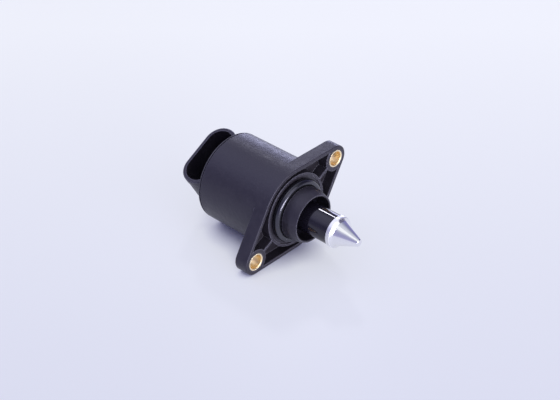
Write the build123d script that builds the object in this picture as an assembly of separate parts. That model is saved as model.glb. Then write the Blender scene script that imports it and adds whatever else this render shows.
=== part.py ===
"""Idle air control valve: a flanged plastic body with a claw-pole stepper motor that winds a pintle in and out.

Millimetres. The valve axis is X, with the pintle tip at +X and the mounting face of the flange at x = 0.
Every piece is built with the plug socket facing +Z, then the whole valve is rolled about X on to one straight
side of its flange, which is how it lies on a table.
"""
import os
from math import asin, cos, degrees, sin

from build123d import *

os.makedirs("parts", exist_ok=True)

# Fits
run_fit = 0.08        # running clearance of sliding and turning pieces, on the radius
seat_fit = 0.05       # clearance of pieces pressed or moulded together, on the radius
free_gap = 0.4        # open gap beside pieces that must not touch

# Flange and body
hole_offset = 25.0    # bolt hole from the valve axis
ear_r = 5.25
body_r = 17.7
flange_t = 5.8
flange_edge = 0.45    # rounding of the outer edge
wall = 1.5
pocket_depth = 4.3
rib_t = 1.2
collar_wall = 1.1
body_len = 33.3
body_wall = 1.7
lean = asin((body_r - ear_r) / hole_offset)

# Compression limiters in the ears
limiter_r = 3.5
limiter_bore_r = 2.75
limiter_edge = 0.3

# Nose tube and seal
nose_len = 8.6
nose_bore_r = 8.85
nose_wall = 0.85      # at the tip and under the seal
nose_swell = 0.9      # the pilot stands this much proud of the seal's seat
nose_lead = 3.4       # length of the tapered lead-in at the tip
nose_edge = 0.25
nose_mouth = 0.4      # rounding of the bore's mouth
seal_r = 1.5          # radius of the ring's section
seal_seat_depth = 0.75
seal_groove_gap = 0.2
seal_room = 1.15      # open ring between the seal and the collar

# Pintle
stroke_in = 8.0
stroke_out = 2.0
end_gap = 0.9         # left between the guide flange and the bearing plate when fully drawn in
guide_rest = 0.2      # back of the guide flange at rest, ahead of the mounting face
guide_t = 2.5
guide_flat = 8.0      # half width between the flats that stop the plunger turning
flat_end = 3.4        # flats start this far inside the nose
stem_r = 5.9
stem_end = 19.4
spigot_r = 3.5
spigot_len = 3.6
cone_r = 6.2
cone_band = 1.8
cone_neck_r = 4.9
cone_neck = 0.8
cone_tip_r = 1.35
cone_len = 11.4
cone_edge = 0.3
cone_tip_edge = 0.6
nut_r = 4.4
nut_len = 7.0

# Lead screw, rotor and bearings
screw_r = 3.0
screw_reach = 8.6
screw_edge = 0.5
journal_r = 1.25
journal_len = 3.2
race_w = 3.5
race_r = 6.5
race_t = 1.1
ball_r = 1.0
ball_count = 7
pocket_gap = 0.1
cage_t = 0.9
cage_w = 2.9
plate_r = 12.0
plate_lip = 0.8
lip_t = 0.9
hub_r = 4.45
hub_neck_r = 4.0
magnet_r = 7.2
magnet_end_gap = 1.0
bush_r = 2.3
bush_len = 2.7
boss_r = 3.1

# Stator
can_t = 1.0
pole_count = 6        # claws on each cup
pole_t = 0.9
pole_root = 5.4       # claw width at its root and tip
pole_tip = 2.2
bobbin_t = 0.8
coil_fill = 0.5       # flange left bare above the winding

# Rear cover, plug socket and terminals
cover_band = 1.0      # rim that shows behind the body
cover_spigot = 2.6    # how far the cover's spigot reaches into the body
cover_edge = 0.4
seam_edge = 0.25      # breaks the edges of the joint between body and cover
cover_wall = 2.0
spigot_wall = 1.2
core_wall = 1.4
core_front = 7.3      # front ends of the two cored rings, from the mounting face
core_seat = 2.3
socket_len = 26.3
socket_w = 14.0
socket_wall = 1.4
socket_top = 9.85
socket_depth = 12.0
socket_floor = 1.8
socket_lip = 2.4
socket_step = 0.2
socket_edge = 0.3
socket_sink = 0.45    # how far the socket's front wall runs into the cover
pin_pitch = 5.0
pin_count = 4
pin_w = 1.2
pin_t = 0.8
pin_tip_gap = 4.0
pin_edge = 0.25
lug_w = 16.8
lug_out = 0.6
lug_near = 10.0       # lug's edges from the valve axis
lug_far = 11.8

# Radii and places that follow from the sizes above
nose_tip_r = nose_bore_r + nose_wall
nose_r = nose_tip_r + nose_swell
seal_ring_r = nose_tip_r + seat_fit + seal_r
collar_r = seal_ring_r + seal_r + seal_room + collar_wall
plate_front = guide_rest - stroke_in - end_gap
plate_back = plate_front - race_w - plate_lip
race_mid = plate_front - race_w / 2
stator_front = plate_back
stator_back = cover_spigot - body_len
stack_len = (stator_front - stator_back) / 2
stator_mid = stator_front - stack_len
can_r = body_r - body_wall - run_fit
cover_back = -(body_len + cover_band)
cover_inner = cover_back + cover_wall
lug_back = stator_back - lug_out
screw_back = stator_back + free_gap
pole_r = magnet_r + free_gap
ball_ring_r = (screw_r + seat_fit + race_r) / 2
bobbin_r = pole_r + pole_t + free_gap / 2
coil_r = bobbin_r + bobbin_t
flange_r = can_r - can_t - free_gap
socket_x = cover_back + socket_sink - socket_w / 2
socket_base = socket_top - socket_depth - socket_floor
pin_z = socket_base + socket_floor / 2


def turned(*corners):
    """Solid of revolution about the valve axis, from (x, radius) corners."""
    return revolve(make_face(Polyline(*corners, close=True)), Axis.X)


def ring(x0, x1, outer, inner=0):
    """Plain ring, or disc, between two places on the axis."""
    return turned((x0, inner), (x1, inner), (x1, outer), (x0, outer))


def block(x0, x1, y0, y1, z0, z1):
    """Box between two opposite corners."""
    return Pos((x0 + x1) / 2, (y0 + y1) / 2, (z0 + z1) / 2) * Box(abs(x1 - x0), abs(y1 - y0), abs(z1 - z0))


def slab(sketch, x0, x1):
    """A sketch drawn across the valve axis, carried from x0 to x1."""
    return extrude(Plane.YZ.offset(x0) * sketch, x1 - x0)


def rhomb(inset):
    """Two-eared flange outline, drawn in by an inset."""
    mid, ear = body_r - inset, ear_r - inset
    y0, y1 = mid * sin(lean), hole_offset + ear * sin(lean)
    z0, z1 = mid * cos(lean), ear * cos(lean)
    side = Polygon((y0, -z0), (y1, -z1), (y1, z1), (y0, z0), align=None) + Pos(hole_offset, 0) * Circle(ear)
    return Circle(mid) + side + Rot(Z=180) * side


def ears(radius):
    """Circles on the two bolt holes."""
    return Pos(hole_offset, 0) * Circle(radius) + Pos(-hole_offset, 0) * Circle(radius)


def around(shape, count, start=0.0):
    """Copies of a shape spaced evenly about the valve axis."""
    return [Rot(X=start + k * 360 / count) * shape for k in range(count)]


def make_housing():
    """Body, flange and nose: one glass-filled moulding."""
    flange = slab(rhomb(0), -flange_t, 0)
    levels = flange.edges().group_by(Axis.X)
    flange = fillet(levels[0] + levels[-1], flange_edge)
    seat_front = -seal_seat_depth + 2 * seal_r + seal_groove_gap
    solid = flange + turned(
        (-body_len, 0), (-flange_t / 2, 0), (-flange_t / 2, body_r), (seam_edge - body_len, body_r),
        (-body_len, body_r - seam_edge))
    solid += turned(
        (-flange_t, 0), (nose_len, 0), (nose_len, nose_tip_r - nose_edge), (nose_len - nose_edge, nose_tip_r),
        (nose_len - nose_lead, nose_r), (-flange_t, nose_r))
    pockets = rhomb(wall) - Circle(collar_r) - ears(ear_r) - Rectangle(2 * hole_offset, rib_t)
    solid -= slab(pockets, -pocket_depth, 0)
    solid -= ring(-seal_seat_depth, seat_front, collar_r - collar_wall, nose_tip_r)
    solid -= slab(ears(limiter_r + seat_fit), -flange_t, 0)
    flats_at = nose_len - flat_end
    guide = Circle(nose_bore_r) & Rectangle(2 * nose_bore_r, 2 * guide_flat)
    solid -= ring(flats_at, nose_len, nose_bore_r) + slab(guide, plate_front, flats_at)
    plate_seat_r = plate_r + seat_fit
    bore_r = body_r - body_wall
    solid -= ring(-body_len, stator_front, bore_r) + ring(stator_front, plate_front, plate_seat_r)
    solid -= ring(stator_front, -core_front, bore_r, plate_seat_r + core_wall)
    solid -= ring(plate_front, -core_seat, plate_seat_r, nose_r)
    rim = solid.edges().filter_by(GeomType.CIRCLE).group_by(Axis.X)[-1]
    return fillet(rim.sort_by(SortBy.RADIUS)[:1], nose_mouth)


def make_limiter(side):
    """Brass bush moulded into one ear."""
    bush = ring(-flange_t, 0, limiter_r, limiter_bore_r)
    bush = chamfer(bush.edges().filter_by(GeomType.CIRCLE).sort_by(SortBy.RADIUS)[:2], limiter_edge)
    return Pos(0, side * hole_offset, 0) * bush


def make_seal():
    """Rubber ring in the groove at the root of the nose."""
    return revolve(Pos(seal_r - seal_seat_depth, seal_ring_r) * Circle(seal_r), Axis.X)


def make_plunger():
    """Acetal plunger: a flatted guide flange, a round stem and the spigot that carries the cone."""
    flange = Circle(nose_bore_r - run_fit) & Rectangle(2 * nose_bore_r, 2 * (guide_flat - run_fit))
    solid = slab(flange, guide_rest, guide_rest + guide_t)
    solid += ring(guide_rest, stem_end, stem_r) + ring(stem_end, stem_end + spigot_len, spigot_r)
    solid -= ring(guide_rest, guide_rest + nut_len, nut_r + seat_fit)
    hollow = screw_r + free_gap
    return solid - ring(guide_rest, screw_reach + stroke_in + free_gap, hollow)


def make_cone():
    """Turned aluminium pintle cone, pressed on the spigot."""
    shoulder = stem_end + cone_band
    tip = stem_end + cone_len
    cone = turned(
        (stem_end, 0), (tip, 0), (tip, cone_tip_r), (shoulder + cone_neck, cone_neck_r), (shoulder, cone_r),
        (stem_end + cone_edge, cone_r), (stem_end, cone_r - cone_edge))
    end = cone.edges().filter_by(GeomType.CIRCLE).sort_by(Axis.X)[-1]
    cone = fillet(end, cone_tip_edge)
    return cone - ring(stem_end, stem_end + spigot_len + free_gap, spigot_r + seat_fit)


def make_nut():
    """Brass nut in the back of the plunger, taken at the screw's outside diameter."""
    return ring(guide_rest, guide_rest + nut_len, nut_r, screw_r + run_fit)


def make_screw():
    """Rotor shaft: a journal at the back and the lead screw at the front."""
    return turned(
        (screw_back - journal_len, 0), (screw_reach, 0), (screw_reach, screw_r - screw_edge),
        (screw_reach - screw_edge, screw_r), (screw_back, screw_r), (screw_back, journal_r),
        (screw_back - journal_len, journal_r))


def make_hub():
    """Moulded hub between screw and magnet, with a neck that backs the inner race."""
    magnet_front = stator_front - magnet_end_gap
    inner = screw_r + seat_fit
    return turned(
        (stator_back + magnet_end_gap, inner), (plate_front - race_w, inner), (plate_front - race_w, hub_neck_r),
        (magnet_front, hub_neck_r), (magnet_front, hub_r), (stator_back + magnet_end_gap, hub_r))


def make_magnet():
    """Ferrite ring on the hub."""
    return ring(stator_back + magnet_end_gap, stator_front - magnet_end_gap, magnet_r, hub_r + seat_fit)


def make_race(inner, outer):
    """Bearing race with its ball track."""
    track = Pos(race_mid, ball_ring_r) * Circle(ball_r + seat_fit)
    return ring(plate_front - race_w, plate_front, outer, inner) - revolve(track, Axis.X)


def make_balls():
    """The bearing's balls."""
    return Part() + around(Pos(race_mid, 0, ball_ring_r) * Sphere(ball_r), ball_count)


def make_cage():
    """Ring that spaces the balls."""
    cage = ring(race_mid - cage_w / 2, race_mid + cage_w / 2, ball_ring_r + cage_t / 2, ball_ring_r - cage_t / 2)
    hole = Pos(race_mid, 0, ball_ring_r) * Cylinder(ball_r + pocket_gap, 2 * cage_t)
    return cage - around(hole, ball_count)


def make_plate():
    """Bearing plate behind the nose, with a lip behind the outer race."""
    plate = ring(plate_back, plate_front, plate_r, race_r - lip_t)
    return plate - ring(plate_front - race_w, plate_front, race_r + seat_fit)


def make_cup(face, inward, start):
    """Claw-pole cup: end plate, half of the stack's outer shell and claws bent in along the bore."""
    plate_end = face + inward * can_t
    cup = ring(face, plate_end, can_r, pole_r) + ring(face, face + inward * stack_len / 2, can_r, can_r - can_t)
    reach = face + inward * (stack_len - can_t - free_gap)
    claw = Polygon((face, -pole_root / 2), (reach, -pole_tip / 2), (reach, pole_tip / 2), (face, pole_root / 2),
                   align=None)
    claw = extrude(claw, can_r) & ring(face, reach, pole_r + pole_t, pole_r)
    return cup + around(claw, pole_count, start)


def make_bobbin(front):
    """Coil former with two flanges."""
    x0, x1 = front - stack_len + can_t, front - can_t
    bobbin = ring(x0, x1, flange_r, bobbin_r)
    return bobbin - ring(x0 + bobbin_t, x1 - bobbin_t, flange_r, coil_r)


def make_coil(front):
    """Copper winding on a former."""
    end = can_t + bobbin_t
    return ring(front - stack_len + end, front - end, flange_r - coil_fill, coil_r + seat_fit)


def make_lug(gap):
    """Block on the rear former that carries the winding ends out through the last cup."""
    return block(lug_back, stator_back + can_t, -lug_w / 2 - gap, lug_w / 2 + gap, -lug_far - gap, -lug_near + gap)


def make_terminal(index):
    """Bent brass terminal: blade in the socket, run through the cover, leg down to the winding lug."""
    y = (index - (pin_count - 1) / 2) * pin_pitch
    y0, y1 = y - pin_w / 2, y + pin_w / 2
    z0, z1 = pin_z - pin_t / 2, pin_z + pin_t / 2
    blade = block(socket_x - pin_t / 2, socket_x + pin_t / 2, y0, y1, z0, socket_top - pin_tip_gap)
    blade = chamfer(blade.faces().sort_by(Axis.Z)[-1].edges(), pin_edge)
    return blade + block(socket_x, lug_back, y0, y1, z0, z1) + block(lug_back - pin_t, lug_back, y0, y1, -lug_far, z1)


def make_cover(terminals):
    """Rear cover moulded round the terminals, with the plug socket behind it."""
    cover = turned(
        (cover_back, 0), (-body_len, 0), (-body_len, body_r - seam_edge), (-body_len - seam_edge, body_r),
        (cover_back + cover_edge, body_r), (cover_back, body_r - cover_edge))
    outer = can_r
    cover += turned(
        (-body_len, 0), (cover_inner, 0), (cover_inner, outer - spigot_wall), (stator_back, outer - spigot_wall),
        (stator_back, outer), (-body_len, outer))
    bush_back = screw_back - journal_len - free_gap
    cover += ring(cover_inner, bush_back + bush_len, boss_r)
    place = Pos(socket_x, 0, socket_base)
    slim = SlotOverall(socket_len - 2 * socket_step, socket_w - 2 * socket_step, rotation=90)
    lip = extrude(SlotOverall(socket_len, socket_w, rotation=90), socket_lip)
    lip = chamfer(lip.edges().group_by(Axis.Z)[-1], socket_edge)
    height = socket_depth + socket_floor
    cover += place * extrude(slim, height - socket_lip) + place * Pos(0, 0, height - socket_lip) * lip
    inside = SlotOverall(socket_len - 2 * socket_wall, socket_w - 2 * socket_wall, rotation=90)
    cover -= place * Pos(0, 0, socket_floor) * extrude(inside, socket_depth)
    cover -= ring(bush_back, bush_back + bush_len, bush_r + seat_fit)
    for terminal in terminals:
        cover -= terminal
    return cover


def make_bush():
    """Bronze bush for the rotor's rear journal."""
    back = screw_back - journal_len - free_gap
    return ring(back, back + bush_len, bush_r, journal_r + run_fit)


half_step = 360 / pole_count / 4
pieces = {f"terminal_{k + 1}": make_terminal(k) for k in range(pin_count)}
pieces |= {
    "housing": make_housing(),
    "rear_cover": make_cover(list(pieces.values())),
    "limiter_upper": make_limiter(1),
    "limiter_lower": make_limiter(-1),
    "seal_ring": make_seal(),
    "plunger": make_plunger(),
    "valve_cone": make_cone(),
    "drive_nut": make_nut(),
    "lead_screw": make_screw(),
    "rotor_hub": make_hub(),
    "rotor_magnet": make_magnet(),
    "bearing_inner_race": make_race(screw_r + seat_fit, screw_r + seat_fit + race_t),
    "bearing_outer_race": make_race(race_r - race_t, race_r),
    "bearing_balls": make_balls(),
    "bearing_cage": make_cage(),
    "bearing_plate": make_plate(),
    "rear_bush": make_bush(),
    "front_cup_outer": make_cup(stator_front, -1, 0),
    "front_cup_inner": make_cup(stator_mid, 1, 180 / pole_count),
    "rear_cup_inner": make_cup(stator_mid, -1, half_step),
    "rear_cup_outer": make_cup(stator_back, 1, 180 / pole_count + half_step) - make_lug(seat_fit),
    "front_bobbin": make_bobbin(stator_front),
    "rear_bobbin": make_bobbin(stator_mid) + make_lug(0),
    "front_coil": make_coil(stator_front),
    "rear_coil": make_coil(stator_mid),
}

for name, shape in pieces.items():
    export_step(Rot(X=degrees(lean)) * shape, f"parts/{name}.step")
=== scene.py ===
from math import cos, pi, radians, sin, tan, tau

import bpy
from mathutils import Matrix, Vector


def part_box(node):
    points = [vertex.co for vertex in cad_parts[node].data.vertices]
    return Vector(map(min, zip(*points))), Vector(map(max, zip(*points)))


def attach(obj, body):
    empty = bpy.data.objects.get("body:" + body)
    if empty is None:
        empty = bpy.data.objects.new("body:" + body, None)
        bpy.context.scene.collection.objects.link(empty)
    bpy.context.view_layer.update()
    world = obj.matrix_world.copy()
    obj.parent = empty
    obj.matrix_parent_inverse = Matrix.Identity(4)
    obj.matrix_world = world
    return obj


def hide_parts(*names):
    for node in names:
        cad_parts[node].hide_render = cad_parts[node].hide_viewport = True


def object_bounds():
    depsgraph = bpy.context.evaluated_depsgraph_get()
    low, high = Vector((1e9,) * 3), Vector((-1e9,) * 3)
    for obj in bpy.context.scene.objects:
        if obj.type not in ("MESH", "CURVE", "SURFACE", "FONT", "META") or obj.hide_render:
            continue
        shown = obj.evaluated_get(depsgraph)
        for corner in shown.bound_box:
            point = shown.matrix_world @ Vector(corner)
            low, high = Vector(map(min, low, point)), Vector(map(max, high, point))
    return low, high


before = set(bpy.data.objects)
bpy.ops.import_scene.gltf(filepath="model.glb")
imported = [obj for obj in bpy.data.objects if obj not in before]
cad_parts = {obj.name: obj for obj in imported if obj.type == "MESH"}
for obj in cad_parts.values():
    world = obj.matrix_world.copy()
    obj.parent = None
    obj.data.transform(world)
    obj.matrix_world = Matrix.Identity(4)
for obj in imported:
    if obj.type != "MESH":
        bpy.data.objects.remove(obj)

cad_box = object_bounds()


# Housing: the round motor body, the two-eared flange with its cored pockets and the nose tube,
# one moulding in black glass-filled polyester. The mould's spark texture leaves it matt, with
# slightly glossier edges, rounded by about a third of a millimetre on the flange's front. The
# edges are also painted lighter, as a painted highlight, and the joint round the back rim is
# painted near black, as a painted shade in its groove.

def place(tree, kind, inputs, **options):
    """Adds a node: options are its settings, inputs are plain values or the sockets that feed it."""
    made = tree.nodes.new("ShaderNode" + kind)
    for option, value in options.items():
        setattr(made, option, value)
    for socket, value in inputs.items():
        if isinstance(value, bpy.types.NodeSocket):
            tree.links.new(value, made.inputs[socket])
        else:
            made.inputs[socket].default_value = value
    return made


def open_group(name, inputs, outputs):
    """Starts a node group with number and vector inputs and number outputs."""
    tree = bpy.data.node_groups.new(name, "ShaderNodeTree")
    for socket, kind in inputs.items():
        tree.interface.new_socket(socket, in_out="INPUT", socket_type=kind)
    for socket in outputs:
        tree.interface.new_socket(socket, in_out="OUTPUT", socket_type="NodeSocketFloat")
    start = tree.nodes.new("NodeGroupInput").outputs
    end = tree.nodes.new("NodeGroupOutput").inputs
    return tree, start, end


def make_skin_group():
    """Moulded or cast skin: a fine grain on top of slow clouds, on a surface with shallow waves."""
    inputs = {"Vector": "NodeSocketVector", "Grain": "NodeSocketFloat", "Clouds": "NodeSocketFloat",
              "Waves": "NodeSocketFloat"}
    grain_share = 0.45
    dent_size = 1.5e-3
    tree, start, end = open_group("moulded_skin", inputs, ["Mask", "Height"])
    grain = place(tree, "TexNoise", {"Vector": start["Vector"], "Scale": start["Grain"], "Detail": 2.0})
    clouds = place(tree, "TexNoise", {"Vector": start["Vector"], "Scale": start["Clouds"], "Detail": 3.0})
    mixed = place(tree, "Math", {0: grain.outputs["Fac"], 1: grain_share}, operation="MULTIPLY")
    mixed = place(
        tree, "Math", {0: clouds.outputs["Fac"], 1: 1 - grain_share, 2: mixed.outputs[0]},
        operation="MULTIPLY_ADD")
    tree.links.new(mixed.outputs[0], end["Mask"])
    dents = place(tree, "TexNoise", {"Vector": start["Vector"], "Scale": 1 / dent_size, "Detail": 3.0})
    relief = place(
        tree, "Math", {0: dents.outputs["Fac"], 1: start["Waves"], 2: grain.outputs["Fac"]},
        operation="MULTIPLY_ADD")
    tree.links.new(relief.outputs[0], end["Height"])
    return tree


def paint(name, pattern, colours, roughness, bump, **constants):
    """Material whose colour, roughness and relief follow a pattern; the rest is set on the shader.

    pattern takes the tree and gives a mask and a height, colours and roughness are the two ends
    of the mask, and bump is the relief's strength and depth in metres.
    """
    material = bpy.data.materials.new(name)
    material.use_nodes = True
    tree = material.node_tree
    shader = tree.nodes["Principled BSDF"]
    for socket, value in constants.items():
        shader.inputs[socket.replace("_", " ")].default_value = value
    mask, height = pattern(tree)
    mask_low = 0.3
    mask_high = 0.7
    ramp = place(tree, "ValToRGB", {"Fac": mask})
    for stop, level, colour in zip(ramp.color_ramp.elements, (mask_low, mask_high), colours):
        stop.position = level
        stop.color = (*colour, 1.0)
    tree.links.new(ramp.outputs["Color"], shader.inputs["Base Color"])
    spread = place(tree, "MapRange", {
        "Value": mask, "From Min": mask_low, "From Max": mask_high,
        "To Min": roughness[0], "To Max": roughness[1]})
    tree.links.new(spread.outputs["Result"], shader.inputs["Roughness"])
    relief = place(tree, "Bump", {"Height": height, "Strength": bump[0], "Distance": bump[1]})
    tree.links.new(relief.outputs["Normal"], shader.inputs["Normal"])
    return material


def skin(grain, clouds, waves=0.0):
    """Pattern of a moulded surface: the sizes of its grain and clouds in metres, and how wavy it is."""
    def lay(tree):
        where = place(tree, "TexCoord", {})
        group = tree.nodes.new("ShaderNodeGroup")
        group.node_tree = skin_group
        tree.links.new(where.outputs["Object"], group.inputs["Vector"])
        group.inputs["Grain"].default_value = 1 / grain
        group.inputs["Clouds"].default_value = 1 / clouds
        group.inputs["Waves"].default_value = waves
        return group.outputs["Mask"], group.outputs["Height"]
    return lay


def dress(material, *names):
    """Gives CAD pieces their finish."""
    for name in names:
        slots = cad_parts[name].data.materials
        slots.clear()
        slots.append(material)


def mark_edges(piece, wanted):
    """Marks the sharp edges of a CAD piece that are to be rounded, by a test of their middle point.

    The mesh is split where two CAD surfaces meet, so the faces beside an edge are found by its middle.
    """
    mesh = piece.data

    def middle(ends):
        return (mesh.vertices[ends[0]].co + mesh.vertices[ends[1]].co) / 2

    def spot(ends):
        return tuple(round(value / weld_reach) for value in middle(ends))

    sides = {}
    for face in mesh.polygons:
        for ends in face.edge_keys:
            sides.setdefault(spot(ends), []).append(face.normal)
    marks = mesh.attributes.new("bevel_weight_edge", "FLOAT", "EDGE")
    for edge, mark in zip(mesh.edges, marks.data):
        normals = sides[spot(edge.vertices)]
        if len(normals) == 2 and normals[0].angle(normals[1], 0.0) > sharp:
            mark.value = float(wanted(middle(edge.vertices)))
            edge.use_edge_sharp = not mark.value


def ease_edges(name, radius, wanted=None):
    """Rounds the sharp edges of a CAD piece a little, as a mould or a deburring tool leaves them.

    wanted, where it is given, picks the edges by their middle points, and the others stay sharp.
    """
    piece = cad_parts[name]
    joined = piece.modifiers.new("join_faces", "WELD")
    joined.merge_threshold = weld_reach
    flats = piece.modifiers.new("clear_flats", "DECIMATE")
    flats.decimate_type = "DISSOLVE"
    flats.angle_limit = flat_limit
    edges = piece.modifiers.new("ease_edges", "BEVEL")
    edges.width = radius
    edges.segments = 2
    edges.limit_method = "ANGLE"
    edges.angle_limit = sharp
    if wanted:
        mark_edges(piece, wanted)
        edges.limit_method = "WEIGHT"
        edges.use_clamp_overlap = False
    shading = piece.modifiers.new("even_shading", "WEIGHTED_NORMAL")
    shading.weight = 100
    shading.keep_sharp = True


def make_edge_highlight_group():
    """Mask of the glossier edges that are painted lighter as a painted highlight: where the shape turns
    within a small radius.
    """
    highlight_starts = 0.995
    highlight_full = 0.86
    tree, start, end = open_group("edge_gloss_and_painted_highlight", {"Radius": "NodeSocketFloat"}, ["Mask"])
    rounded = place(tree, "Bevel", {"Radius": start["Radius"]}, samples=4)
    flat = place(tree, "NewGeometry", {})
    turn = place(
        tree, "VectorMath", {0: rounded.outputs["Normal"], 1: flat.outputs["Normal"]},
        operation="DOT_PRODUCT")
    edge = place(tree, "MapRange", {
        "Value": turn.outputs["Value"], "From Min": highlight_starts, "From Max": highlight_full})
    tree.links.new(edge.outputs["Result"], end["Mask"])
    return tree


def mix(tree, share, first, second, kind="FLOAT"):
    """Blends two values or colours by a mask."""
    names = {"FLOAT": "_Float", "RGBA": "_Color"}[kind]
    made = place(tree, "Mix", {}, data_type=kind)
    sockets = {socket.identifier: socket for socket in made.inputs}
    for identifier, value in (("Factor_Float", share), ("A" + names, first), ("B" + names, second)):
        if isinstance(value, bpy.types.NodeSocket):
            tree.links.new(value, sockets[identifier])
        else:
            sockets[identifier].default_value = value
    return next(socket for socket in made.outputs if socket.identifier == "Result" + names)


def rework(material, share, colour, roughness):
    """Gives part of a surface, where a mask says so, another colour and roughness."""
    tree = material.node_tree
    shader = tree.nodes["Principled BSDF"]
    mask = share(tree)
    for socket, value, kind in (("Base Color", (*colour, 1.0), "RGBA"), ("Roughness", roughness, "FLOAT")):
        was = shader.inputs[socket].links[0].from_socket
        tree.links.new(mix(tree, mask, was, value, kind), shader.inputs[socket])


def edge_gloss_and_highlight(radius):
    """Mask of the glossier edges with their painted highlight, with the width of the band in metres."""
    def lay(tree):
        group = tree.nodes.new("ShaderNodeGroup")
        group.node_tree = edge_highlight_group
        group.inputs["Radius"].default_value = radius
        return group.outputs["Mask"]
    return lay


def painted_seam_shade(x, reach):
    """Mask of the painted shade in the joint's groove round the body, at a place on X, with its half width
    in metres.
    """
    solid_share = 0.7

    def lay(tree):
        where = place(tree, "TexCoord", {})
        split = place(tree, "SeparateXYZ", {"Vector": where.outputs["Object"]})
        off = place(tree, "Math", {0: split.outputs["X"], 1: x}, operation="SUBTRACT")
        off = place(tree, "Math", {0: off.outputs[0]}, operation="ABSOLUTE")
        return place(tree, "MapRange", {
            "Value": off.outputs[0], "From Min": reach, "From Max": reach * solid_share}).outputs["Result"]
    return lay


sharp = radians(35)
weld_reach = 2e-6
flat_limit = radians(0.6)
skin_group = make_skin_group()
edge_highlight_group = make_edge_highlight_group()
black_plastic = paint(
    "black_plastic", skin(grain=0.22e-3, clouds=3e-3, waves=12.0),
    colours=((0.018, 0.0155, 0.0205), (0.029, 0.0255, 0.033)), roughness=(0.34, 0.52), bump=(0.30, 0.03e-3),
    Specular_IOR_Level=0.54, Specular_Tint=(0.74, 0.73, 1.0, 1.0))
edge_highlight_width = 0.35e-3
# The edges get a little more gloss and a colour ten times lighter than the plastic, which is a painted
# highlight.
rework(black_plastic, edge_gloss_and_highlight(edge_highlight_width), colour=(0.20, 0.19, 0.24), roughness=0.30)
seam_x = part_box("housing")[0].x
seam_shade_half = 0.22e-3
# The joint round the back rim is painted near black and rough, which is a painted shade in its groove.
rework(black_plastic, painted_seam_shade(seam_x, seam_shade_half), colour=(0.003, 0.003, 0.003), roughness=0.9)
dress(black_plastic, "housing")
front_x = -0.5e-3
front_inner_r = 13.5e-3
front_edge_r = 0.3e-3
ease_edges("housing", front_edge_r, lambda point: point.x > front_x and point.yz.length > front_inner_r)


# Compression limiters: two brass bushes that the mould holds in the ears, so that the screws
# bear on metal. They are parted off a bar, with chamfered mouths and a reamed bore, and the
# mouths are painted a paler brass, as a painted reflection of the pale floor.

def make_turning_group():
    """Tool marks of a lathe: fine rings about the X axis of the vector."""
    inputs = {"Vector": "NodeSocketVector", "Rings": "NodeSocketFloat"}
    smear_scale = 900.0
    smear_share = 0.35
    tree, start, end = open_group("turned_rings", inputs, ["Mask", "Height"])
    split = place(tree, "SeparateXYZ", {"Vector": start["Vector"]})
    across = place(tree, "CombineXYZ", {"Y": split.outputs["Y"], "Z": split.outputs["Z"]})
    radius = place(tree, "VectorMath", {0: across.outputs[0]}, operation="LENGTH")
    along = place(tree, "Math", {0: split.outputs["X"], 1: radius.outputs["Value"]}, operation="ADD")
    rings = place(
        tree, "TexNoise", {"W": along.outputs[0], "Scale": start["Rings"], "Detail": 3.0},
        noise_dimensions="1D")
    smears = place(tree, "TexNoise", {"Vector": start["Vector"], "Scale": smear_scale, "Detail": 2.0})
    mixed = place(tree, "Math", {0: smears.outputs["Fac"], 1: smear_share}, operation="MULTIPLY")
    mixed = place(
        tree, "Math", {0: rings.outputs["Fac"], 1: 1 - smear_share, 2: mixed.outputs[0]},
        operation="MULTIPLY_ADD")
    tree.links.new(mixed.outputs[0], end["Mask"])
    tree.links.new(rings.outputs["Fac"], end["Height"])
    return tree


def turning(pitch, centre=(0.0, 0.0, 0.0)):
    """Pattern of a turned surface about an axis along X through a centre, with the pitch in metres."""
    def lay(tree):
        where = place(tree, "TexCoord", {})
        shift = [-value for value in centre]
        moved = place(tree, "Mapping", {"Vector": where.outputs["Object"], "Location": shift})
        group = tree.nodes.new("ShaderNodeGroup")
        group.node_tree = turning_group
        tree.links.new(moved.outputs["Vector"], group.inputs["Vector"])
        group.inputs["Rings"].default_value = 1 / pitch
        return group.outputs["Mask"], group.outputs["Height"]
    return lay


def beyond(radius, blend, centre=(0.0, 0.0, 0.0)):
    """Mask of what lies further than a radius from an axis along X, with its soft edge in metres."""
    across = (0.0, 1.0, 1.0)

    def lay(tree):
        where = place(tree, "TexCoord", {})
        moved = place(tree, "VectorMath", {0: where.outputs["Object"], 1: centre}, operation="SUBTRACT")
        flat = place(tree, "VectorMath", {0: moved.outputs["Vector"], 1: across}, operation="MULTIPLY")
        reach = place(tree, "VectorMath", {0: flat.outputs["Vector"]}, operation="LENGTH")
        outside = place(tree, "MapRange", {
            "Value": reach.outputs["Value"], "From Min": radius, "From Max": radius + blend})
        return outside.outputs["Result"]
    return lay


turning_group = make_turning_group()
limiter_bore_r = 2.75e-3
rim_step = 0.22e-3
rim_blend = 0.10e-3
for name in ("limiter_upper", "limiter_lower"):
    low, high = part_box(name)
    centre = (low + high) / 2
    brass = paint(
        name + "_brass", turning(pitch=0.12e-3, centre=centre),
        colours=((0.98, 0.71, 0.36), (1.0, 0.84, 0.50)), roughness=(0.36, 0.48), bump=(0.20, 0.006e-3),
        Metallic=1.0)
    # Outside the bore, the mouths are painted a paler, whiter brass, which is a painted reflection of the
    # pale floor.
    rim = beyond(limiter_bore_r + rim_step, rim_blend, centre)
    rework(brass, rim, colour=(0.93, 0.81, 0.60), roughness=0.48)
    dress(brass, name)
    ease_edges(name, radius=0.12e-3)


# Bearing plate: a tan moulded disc pressed in behind the nose, which carries the front bearing
# and keeps the plunger's guide flange from running back into the rotor.

plate_plastic = paint(
    "plate_plastic", skin(grain=0.3e-3, clouds=4e-3),
    colours=((0.30, 0.24, 0.16), (0.40, 0.33, 0.23)), roughness=(0.45, 0.58), bump=(0.15, 0.02e-3))
dress(plate_plastic, "bearing_plate")
ease_edges("bearing_plate", radius=0.1e-3)


# Front ball bearing: ground and lapped steel races and balls, with the balls spaced by a cage
# of natural nylon. The outer race sits in the plate and the inner race on the screw.

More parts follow.
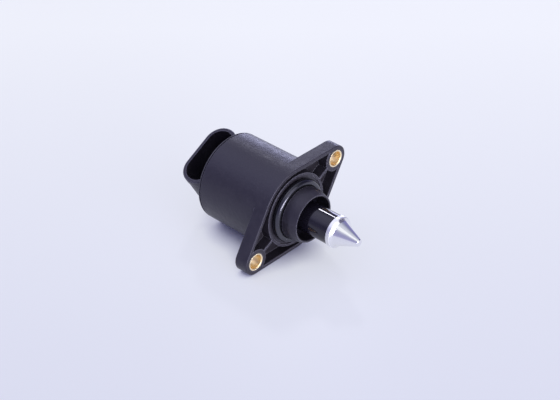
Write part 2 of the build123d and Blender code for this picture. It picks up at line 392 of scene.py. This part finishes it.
bearing_steel = paint(
    "bearing_steel", turning(pitch=0.05e-3),
    colours=((0.50, 0.51, 0.53), (0.64, 0.65, 0.67)), roughness=(0.10, 0.22), bump=(0.06, 0.002e-3),
    Metallic=1.0)
dress(bearing_steel, "bearing_outer_race", "bearing_inner_race", "bearing_balls")
for name in ("bearing_outer_race", "bearing_inner_race"):
    ease_edges(name, radius=0.08e-3)
cage_nylon = paint(
    "cage_nylon", skin(grain=0.25e-3, clouds=2e-3),
    colours=((0.56, 0.52, 0.42), (0.68, 0.64, 0.54)), roughness=(0.38, 0.50), bump=(0.10, 0.01e-3),
    Subsurface_Weight=0.1)
dress(cage_nylon, "bearing_cage")


# Rotor: the steel lead screw with its rolled thread, a black moulded hub round it and a ring
# magnet of pressed ferrite on the hub. The thread drives the nut two millimetres a turn.

def deselect():
    """Clears the selection, so that the next operator works on the new piece alone."""
    if bpy.context.object and bpy.context.object.mode != "OBJECT":
        bpy.ops.object.mode_set(mode="OBJECT")
    bpy.ops.object.select_all(action="DESELECT")


def pick(piece, wanted):
    """Opens a mesh for editing, with the points that a test picks selected."""
    bpy.ops.object.mode_set(mode="EDIT")
    bpy.ops.mesh.select_mode(type="VERT")
    bpy.ops.mesh.select_all(action="DESELECT")
    bpy.ops.object.mode_set(mode="OBJECT")
    for point in piece.data.vertices:
        point.select = wanted(point.co)
    bpy.ops.object.mode_set(mode="EDIT")


def apply_modifier(piece, kind, **settings):
    """Adds a modifier with its settings and applies it."""
    made = piece.modifiers.new(kind.lower(), kind)
    for setting, value in settings.items():
        setattr(made, setting, value)
    bpy.context.view_layer.objects.active = piece
    bpy.ops.object.modifier_apply(modifier=made.name)


def turn_blank(name, steps):
    """Draws a shaft out of a disc, step by step, through the places and radii along X in metres."""
    deselect()
    x, radius = steps[0]
    bpy.ops.mesh.primitive_circle_add(
        vertices=around, radius=radius, fill_type="NGON", location=(x, 0.0, 0.0),
        rotation=(0.0, radians(90), 0.0))
    piece = bpy.context.object
    piece.name = name
    bpy.ops.object.transform_apply(location=True, rotation=True)
    bpy.ops.object.mode_set(mode="EDIT")
    for next_x, next_radius in steps[1:]:
        bpy.ops.mesh.extrude_region_move(TRANSFORM_OT_translate={"value": (next_x - x, 0.0, 0.0)})
        grow = next_radius / radius
        bpy.ops.transform.resize(value=(1.0, grow, grow), center_override=(next_x, 0.0, 0.0))
        x, radius = next_x, next_radius
    bpy.ops.mesh.select_all(action="SELECT")
    bpy.ops.mesh.normals_make_consistent(inside=False)
    bpy.ops.object.mode_set(mode="OBJECT")
    return piece


def thread_tool(start, lead, turns, inner, outer):
    """Helical cutter with a tapered section; inner and outer are its radii and widths there.

    It starts half a step round from the blank's points, so that their edges don't coincide.
    """
    deselect()
    bpy.ops.mesh.primitive_plane_add(size=1.0)
    tool = bpy.context.object
    depth = outer[0] - inner[0]
    bpy.ops.object.mode_set(mode="EDIT")
    bpy.ops.mesh.delete(type="ONLY_FACE")
    bpy.ops.mesh.select_all(action="SELECT")
    bpy.ops.transform.rotate(value=radians(90), orient_axis="X", center_override=(0.0, 0.0, 0.0))
    bpy.ops.transform.resize(value=(inner[1], 1.0, depth), center_override=(0.0, 0.0, 0.0))
    bpy.ops.transform.translate(value=(start, 0.0, inner[0] + depth / 2))
    pick(tool, lambda point: point.z > inner[0] + depth / 2)
    bpy.ops.transform.resize(value=(outer[1] / inner[1], 1.0, 1.0), center_override=(start, 0.0, outer[0]))
    bpy.ops.mesh.select_all(action="SELECT")
    bpy.ops.transform.rotate(value=pi / around, orient_axis="X", center_override=(0.0, 0.0, 0.0))
    bpy.ops.object.mode_set(mode="OBJECT")
    apply_modifier(
        tool, "SCREW", axis="X", angle=tau, screw_offset=lead, iterations=turns, steps=around,
        render_steps=around)
    bpy.ops.object.mode_set(mode="EDIT")
    bpy.ops.mesh.select_all(action="SELECT")
    bpy.ops.mesh.fill_holes(sides=0)
    bpy.ops.mesh.normals_make_consistent(inside=False)
    bpy.ops.object.mode_set(mode="OBJECT")
    return tool


def cut(piece, tool):
    """Takes a tool's shape out of a piece and throws the tool away."""
    apply_modifier(piece, "BOOLEAN", operation="DIFFERENCE", object=tool, solver="EXACT")
    bpy.data.objects.remove(tool)


def finish_piece(piece, material, body, slot, *nodes):
    """Shades a new piece, gives it its finish and says what it rides on and stands for."""
    piece.data.materials.clear()
    piece.data.materials.append(material)
    deselect()
    piece.select_set(True)
    bpy.context.view_layer.objects.active = piece
    bpy.ops.object.shade_smooth_by_angle(angle=crease)
    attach(piece, body)
    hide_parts(*nodes)


around = 72
crease = radians(30)
shaft_steel = paint(
    "shaft_steel", turning(pitch=0.08e-3),
    colours=((0.44, 0.44, 0.45), (0.58, 0.58, 0.59)), roughness=(0.20, 0.34), bump=(0.10, 0.004e-3),
    Metallic=1.0)
dress(shaft_steel, "lead_screw")
screw_back, screw_front = (corner.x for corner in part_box("lead_screw"))
screw_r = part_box("lead_screw")[1].z
journal_r = 1.25e-3
journal_len = 3.2e-3
screw_edge = 0.5e-3
lead = 2e-3
thread_back = -7.6e-3
thread_turns = 10
core_r = 2.4e-3
groove_foot = 0.98e-3
groove_mouth = 1.354e-3
over = 0.1e-3
screw = turn_blank("threaded_screw", (
    (screw_back, journal_r), (screw_back + journal_len, journal_r), (screw_back + journal_len, screw_r),
    (screw_front - screw_edge, screw_r), (screw_front, screw_r - screw_edge)))
groove = thread_tool(thread_back, lead, thread_turns, (core_r, groove_foot), (screw_r + over, groove_mouth))
cut(screw, groove)
finish_piece(screw, shaft_steel, "rotor", "shaft_steel", "lead_screw")
hub_plastic = paint(
    "hub_plastic", skin(grain=0.25e-3, clouds=3e-3),
    colours=((0.020, 0.020, 0.022), (0.034, 0.034, 0.036)), roughness=(0.42, 0.55), bump=(0.15, 0.02e-3))
dress(hub_plastic, "rotor_hub")
ferrite = paint(
    "ferrite", skin(grain=0.12e-3, clouds=2e-3),
    colours=((0.030, 0.029, 0.030), (0.062, 0.060, 0.060)), roughness=(0.55, 0.75), bump=(0.35, 0.02e-3))
dress(ferrite, "rotor_magnet")
ease_edges("rotor_magnet", radius=0.15e-3)


# Stator: two claw-pole pairs pressed from soft steel sheet and zinc plated, each clasping a
# nylon former wound with enamelled copper wire. The cups meet rim to rim inside the body.

stator_steel = paint(
    "stator_steel", skin(grain=0.35e-3, clouds=3e-3),
    colours=((0.46, 0.47, 0.48), (0.62, 0.63, 0.65)), roughness=(0.28, 0.44), bump=(0.12, 0.008e-3),
    Metallic=1.0)
dress(stator_steel, "front_cup_outer", "front_cup_inner", "rear_cup_inner", "rear_cup_outer")
bobbin_nylon = paint(
    "bobbin_nylon", skin(grain=0.25e-3, clouds=4e-3),
    colours=((0.60, 0.57, 0.50), (0.72, 0.69, 0.62)), roughness=(0.40, 0.54), bump=(0.10, 0.01e-3),
    Subsurface_Weight=0.1)
dress(bobbin_nylon, "front_bobbin", "rear_bobbin")
wire = 0.25e-3
wire_turns = 25
wire_shown = 0.52
former_r = 9.55e-3
join_reach = 1e-7
coil_copper = paint(
    "coil_copper", turning(pitch=wire),
    colours=((0.42, 0.13, 0.05), (0.66, 0.27, 0.11)), roughness=(0.22, 0.36), bump=(0.20, 0.02e-3),
    Metallic=0.9, Coat_Weight=0.6, Coat_Roughness=0.12)
dress(coil_copper, "front_coil", "rear_coil")
for name in ("front_coil", "rear_coil"):
    low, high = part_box(name)
    deselect()
    bpy.ops.mesh.primitive_circle_add(
        vertices=12, radius=wire / 2, location=(low.x - 2 * wire, 0.0, high.z - wire / 2),
        rotation=(radians(90), 0.0, 0.0))
    coil = bpy.context.object
    coil.name = name + "_winding"
    bpy.ops.object.transform_apply(location=True, rotation=True)
    pick(coil, lambda point: point.z < high.z - wire_shown * wire)
    bpy.ops.mesh.delete(type="VERT")
    bpy.ops.object.mode_set(mode="OBJECT")
    apply_modifier(
        coil, "SCREW", axis="X", angle=tau, screw_offset=wire, iterations=wire_turns, steps=around,
        render_steps=around)
    bpy.ops.object.mode_set(mode="EDIT")
    bpy.ops.mesh.select_all(action="SELECT")
    bpy.ops.mesh.remove_doubles(threshold=join_reach)
    for end, behind in ((low.x, True), (high.x, False)):
        bpy.ops.mesh.select_all(action="SELECT")
        bpy.ops.mesh.bisect(
            plane_co=(end, 0.0, 0.0), plane_no=(1.0, 0.0, 0.0), use_fill=True, clear_inner=behind,
            clear_outer=not behind, threshold=join_reach)
    bpy.ops.mesh.select_all(action="SELECT")
    bpy.ops.mesh.normals_make_consistent(inside=False)
    bpy.ops.object.mode_set(mode="OBJECT")
    cut(coil, turn_blank("former", ((low.x - wire, former_r), (high.x + wire, former_r))))
    finish_piece(coil, coil_copper, "valve_body", "coil_copper", name)


# Plunger, nut and cone: the black acetal stem slides in the nose on two flats, carries a brass
# nut in its back end and a cone turned from bright aluminium bar on its front spigot.

acetal = paint(
    "acetal", skin(grain=0.5e-3, clouds=5e-3),
    colours=((0.008, 0.007, 0.012), (0.013, 0.0115, 0.018)), roughness=(0.05, 0.10), bump=(0.04, 0.01e-3),
    IOR=1.48, Specular_Tint=(0.86, 0.84, 1.0, 1.0))
dress(acetal, "plunger")
ease_edges("plunger", radius=0.1e-3)
nut_brass = paint(
    "nut_brass", turning(pitch=0.12e-3),
    colours=((0.72, 0.50, 0.22), (0.86, 0.63, 0.31)), roughness=(0.20, 0.32), bump=(0.10, 0.004e-3),
    Metallic=1.0)
dress(nut_brass, "drive_nut")
nut_back, nut_front = (corner.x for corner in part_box("drive_nut"))
nut_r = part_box("drive_nut")[1].z
nut_edge = 0.25e-3
slack = 0.08e-3
bore_r = core_r + slack
bore_lead = 0.4e-3
relief_r = screw_r + over
relief_len = 1.5e-3
nut = turn_blank("tapped_nut", (
    (nut_back, nut_r - nut_edge), (nut_back + nut_edge, nut_r), (nut_front - nut_edge, nut_r),
    (nut_front, nut_r - nut_edge)))
bore = turn_blank("bore", (
    (nut_back - over, relief_r), (nut_back + relief_len, relief_r),
    (nut_back + relief_len + bore_lead, bore_r), (nut_front - bore_lead, bore_r),
    (nut_front + over, relief_r)))
cut(nut, bore)
ridge_foot = lead - groove_foot + 2 * slack
ridge_crest = lead - groove_mouth + 2 * slack
ridge_start = thread_back + lead / 2
tap = thread_tool(ridge_start, lead, thread_turns, (core_r, ridge_foot), (screw_r + slack, ridge_crest))
cut(nut, tap)
finish_piece(nut, nut_brass, "pintle", "nut_brass", "drive_nut")
aluminium = paint(
    "aluminium", turning(pitch=0.10e-3),
    colours=((0.84, 0.84, 0.87), (0.93, 0.93, 0.95)), roughness=(0.09, 0.16), bump=(0.10, 0.004e-3),
    Metallic=1.0)
band_r = 5.8e-3
band_blend = 0.1e-3
rework(aluminium, beyond(band_r, band_blend), colour=(0.88, 0.88, 0.91), roughness=0.45)
dress(aluminium, "valve_cone")
ease_edges("valve_cone", radius=0.08e-3)


# Rear cover: the end disc and the plug socket, one moulding in the body's plastic, welded on
# round the body's back rim. The terminals are bent from tinned brass strip and moulded into it,
# and a sintered bronze bush in its boss takes the rotor's rear journal.

dress(black_plastic, "rear_cover")
rim_inner_r = 16.6e-3
rim_edge_r = 0.15e-3
ease_edges("rear_cover", rim_edge_r, lambda point: point.yz.length > rim_inner_r)
terminal_tin = paint(
    "terminal_tin", skin(grain=0.4e-3, clouds=2e-3),
    colours=((0.62, 0.61, 0.58), (0.76, 0.75, 0.73)), roughness=(0.18, 0.34), bump=(0.08, 0.006e-3),
    Metallic=1.0)
for name in ("terminal_1", "terminal_2", "terminal_3", "terminal_4"):
    dress(terminal_tin, name)
    ease_edges(name, radius=0.06e-3)
bronze = paint(
    "bronze", skin(grain=0.10e-3, clouds=1e-3),
    colours=((0.34, 0.19, 0.08), (0.52, 0.32, 0.15)), roughness=(0.38, 0.56), bump=(0.30, 0.01e-3),
    Metallic=1.0)
dress(bronze, "rear_bush")
ease_edges("rear_bush", radius=0.08e-3)


# Seal: a moulded nitrile rubber ring, rolled on over the nose last of all. It is black and
# half glossy, as rubber from a polished mould is.

nitrile = paint(
    "nitrile", skin(grain=0.3e-3, clouds=4e-3),
    colours=((0.005, 0.005, 0.006), (0.009, 0.009, 0.010)), roughness=(0.15, 0.22), bump=(0.05, 0.01e-3),
    Specular_IOR_Level=1.0, Specular_Tint=(0.80, 0.79, 1.0, 1.0))
dress(nitrile, "seal_ring")


# Floor: the smooth pale tabletop that the valve lies on, a plastic sheet with a faint gloss. It
# looks lit from below and paler towards the back, but not close to the valve, in its shadow.

deselect()
floor_size = 6.0
bpy.ops.mesh.primitive_plane_add(size=floor_size, location=(0.0, 0.0, cad_box[0].z))
floor = bpy.context.object
floor.name = "floor"
bpy.ops.object.mode_set(mode="EDIT")
bpy.ops.mesh.subdivide(number_cuts=3)
bpy.ops.object.mode_set(mode="OBJECT")
bpy.ops.object.transform_apply(location=True)
tabletop = paint(
    "tabletop", skin(grain=60e-3, clouds=0.4),
    colours=((0.70, 0.705, 0.91), (0.71, 0.715, 0.92)), roughness=(0.30, 0.34), bump=(0.001, 0.01e-3),
    Specular_IOR_Level=0.3)
lit = tabletop.node_tree
ray = place(lit, "LightPath", {}).outputs
seen = place(lit, "Math", {0: ray["Is Camera Ray"], 1: ray["Is Glossy Ray"]}, operation="MAXIMUM")
seen = place(lit, "Math", {0: seen.outputs[0], 1: ray["Is Transmission Ray"]}, operation="MAXIMUM")
sheet_glow = 0.68
seen = place(lit, "Math", {0: seen.outputs[0], 1: sheet_glow}, operation="MULTIPLY")
shade_reach = 0.013
shade_dark = 0.25
shade_clear = 0.75
near = place(lit, "AmbientOcclusion", {"Distance": shade_reach}, samples=16)
open_sky = place(lit, "MapRange", {
    "Value": near.outputs["AO"], "From Min": shade_dark, "From Max": shade_clear})
seen = place(lit, "Math", {0: seen.outputs[0], 1: open_sky.outputs["Result"]}, operation="MULTIPLY")
backwards = (-0.685, 0.7286, 0.0)
near_end = -0.14
far_end = 0.18
near_colour = (0.72, 0.74, 0.83, 1.0)
far_colour = (1.01, 1.03, 1.03, 1.0)
where = place(lit, "TexCoord", {})
along = place(lit, "VectorMath", {0: where.outputs["Object"], 1: backwards}, operation="DOT_PRODUCT")
depth = place(lit, "MapRange", {"Value": along.outputs["Value"], "From Min": near_end, "From Max": far_end})
fall = mix(lit, depth.outputs["Result"], near_colour, far_colour, "RGBA")
shine = place(lit, "Emission", {"Color": fall})
both = place(lit, "MixShader", {
    0: seen.outputs[0], 1: lit.nodes["Principled BSDF"].outputs[0], 2: shine.outputs[0]})
lit.links.new(both.outputs[0], lit.nodes["Material Output"].inputs["Surface"])
floor.data.materials.append(tabletop)


# Studio light: a tent of white cloth, lavender grey low down and paler overhead. The cloth glows at
# the upper left, low behind and overhead, and is darker in two places behind to the right. A small
# lamp stands behind the valve, and a strip and a softbox beyond its tip.

def heading(azimuth, elevation):
    """Unit vector towards a light or the camera: azimuth 0 is in front along -Y, 90 is along +X."""
    turn = radians(azimuth)
    rise = radians(elevation)
    return Vector((sin(turn) * cos(rise), -cos(turn) * cos(rise), sin(rise)))


world = bpy.data.worlds.new("tent")
bpy.context.scene.world = world
world.use_nodes = True
sky = world.node_tree
way = place(sky, "TexCoord", {}).outputs["Generated"]
height = place(sky, "SeparateXYZ", {"Vector": way})
tent = place(sky, "ValToRGB", {"Fac": height.outputs["Z"]})
tent_cloth = (
    (0.00, (0.48, 0.47, 0.68)),
    (0.25, (0.34, 0.335, 0.56)),
    (0.60, (0.35, 0.35, 0.55)),
    (0.85, (0.58, 0.60, 0.71)),
    (1.00, (0.70, 0.72, 0.80)),
)
stops = tent.color_ramp.elements
while len(stops) < len(tent_cloth):
    stops.new(0.5)
for stop, (at, colour) in zip(stops, tent_cloth):
    stop.position = at
    stop.color = (*colour, 1.0)
glow = tent.outputs["Color"]
glows = (
    dict(azimuth=292, elevation=54, core=12, rim=42, level=(0.66, 0.66, 0.80)),
    dict(azimuth=180, elevation=30, core=15, rim=50, level=(-0.10, -0.10, -0.08)),
    dict(azimuth=140, elevation=30, core=16, rim=40, level=(-0.20, -0.20, -0.34)),
    dict(azimuth=214, elevation=-1, core=7, rim=19, level=(4.1, 4.2, 5.8)),
    dict(azimuth=35, elevation=71, core=5, rim=22, level=(0.36, 0.36, 0.30)),
)
for patch in glows:
    towards = heading(patch["azimuth"], patch["elevation"])
    fades_at = cos(radians(patch["rim"]))
    full_at = cos(radians(patch["core"]))
    facing = place(sky, "VectorMath", {0: way, 1: towards}, operation="DOT_PRODUCT")
    share = place(
        sky, "MapRange", {"Value": facing.outputs["Value"], "From Min": fades_at, "From Max": full_at},
        interpolation_type="SMOOTHSTEP")
    glow = place(
        sky, "VectorMath", {0: share.outputs["Result"], 1: patch["level"], 2: glow},
        operation="MULTIPLY_ADD").outputs["Vector"]
sky.links.new(glow, sky.nodes["Background"].inputs["Color"])

lamps = (
    dict(name="back_lamp", azimuth=223, elevation=38, distance=1.2,
         half_width=2.9, half_height=2.9, brightness=29.0),
    dict(name="tip_strip", azimuth=77, elevation=6, distance=1.0,
         half_width=22.0, half_height=5.0, brightness=17.0),
    dict(name="tip_softbox", azimuth=92, elevation=26, distance=1.1,
         half_width=27.0, half_height=27.0, brightness=1.0),
)
for lamp in lamps:
    light = bpy.data.lights.new(lamp["name"], "AREA")
    light.shape = "ELLIPSE"
    light.size = 2 * lamp["distance"] * tan(radians(lamp["half_width"]))
    light.size_y = 2 * lamp["distance"] * tan(radians(lamp["half_height"]))
    area = pi * light.size * light.size_y / 4
    light.energy = lamp["brightness"] * pi * area
    stand = bpy.data.objects.new(lamp["name"], light)
    bpy.context.scene.collection.objects.link(stand)
    towards = heading(lamp["azimuth"], lamp["elevation"])
    stand.location = towards * lamp["distance"]
    stand.rotation_euler = towards.to_track_quat("Z", "Y").to_euler()
    stand.visible_camera = False


# Camera: a long lens at the photograph's angle and distance, aimed at a point near the valve axis,
# with the plain view transform.

aim = Vector((-0.00851, 0.00015, 0.00036))
distance = 0.50575
back = heading(azimuth=43.24, elevation=34.31)
camera = bpy.data.cameras.new("camera")
camera.sensor_width = 36.0
camera.lens = 86.72
viewpoint = bpy.data.objects.new("camera", camera)
bpy.context.scene.collection.objects.link(viewpoint)
viewpoint.location = aim + back * distance
viewpoint.rotation_euler = back.to_track_quat("Z", "Y").to_euler()
bpy.context.scene.camera = viewpoint
bpy.context.scene.view_settings.view_transform = "Standard"
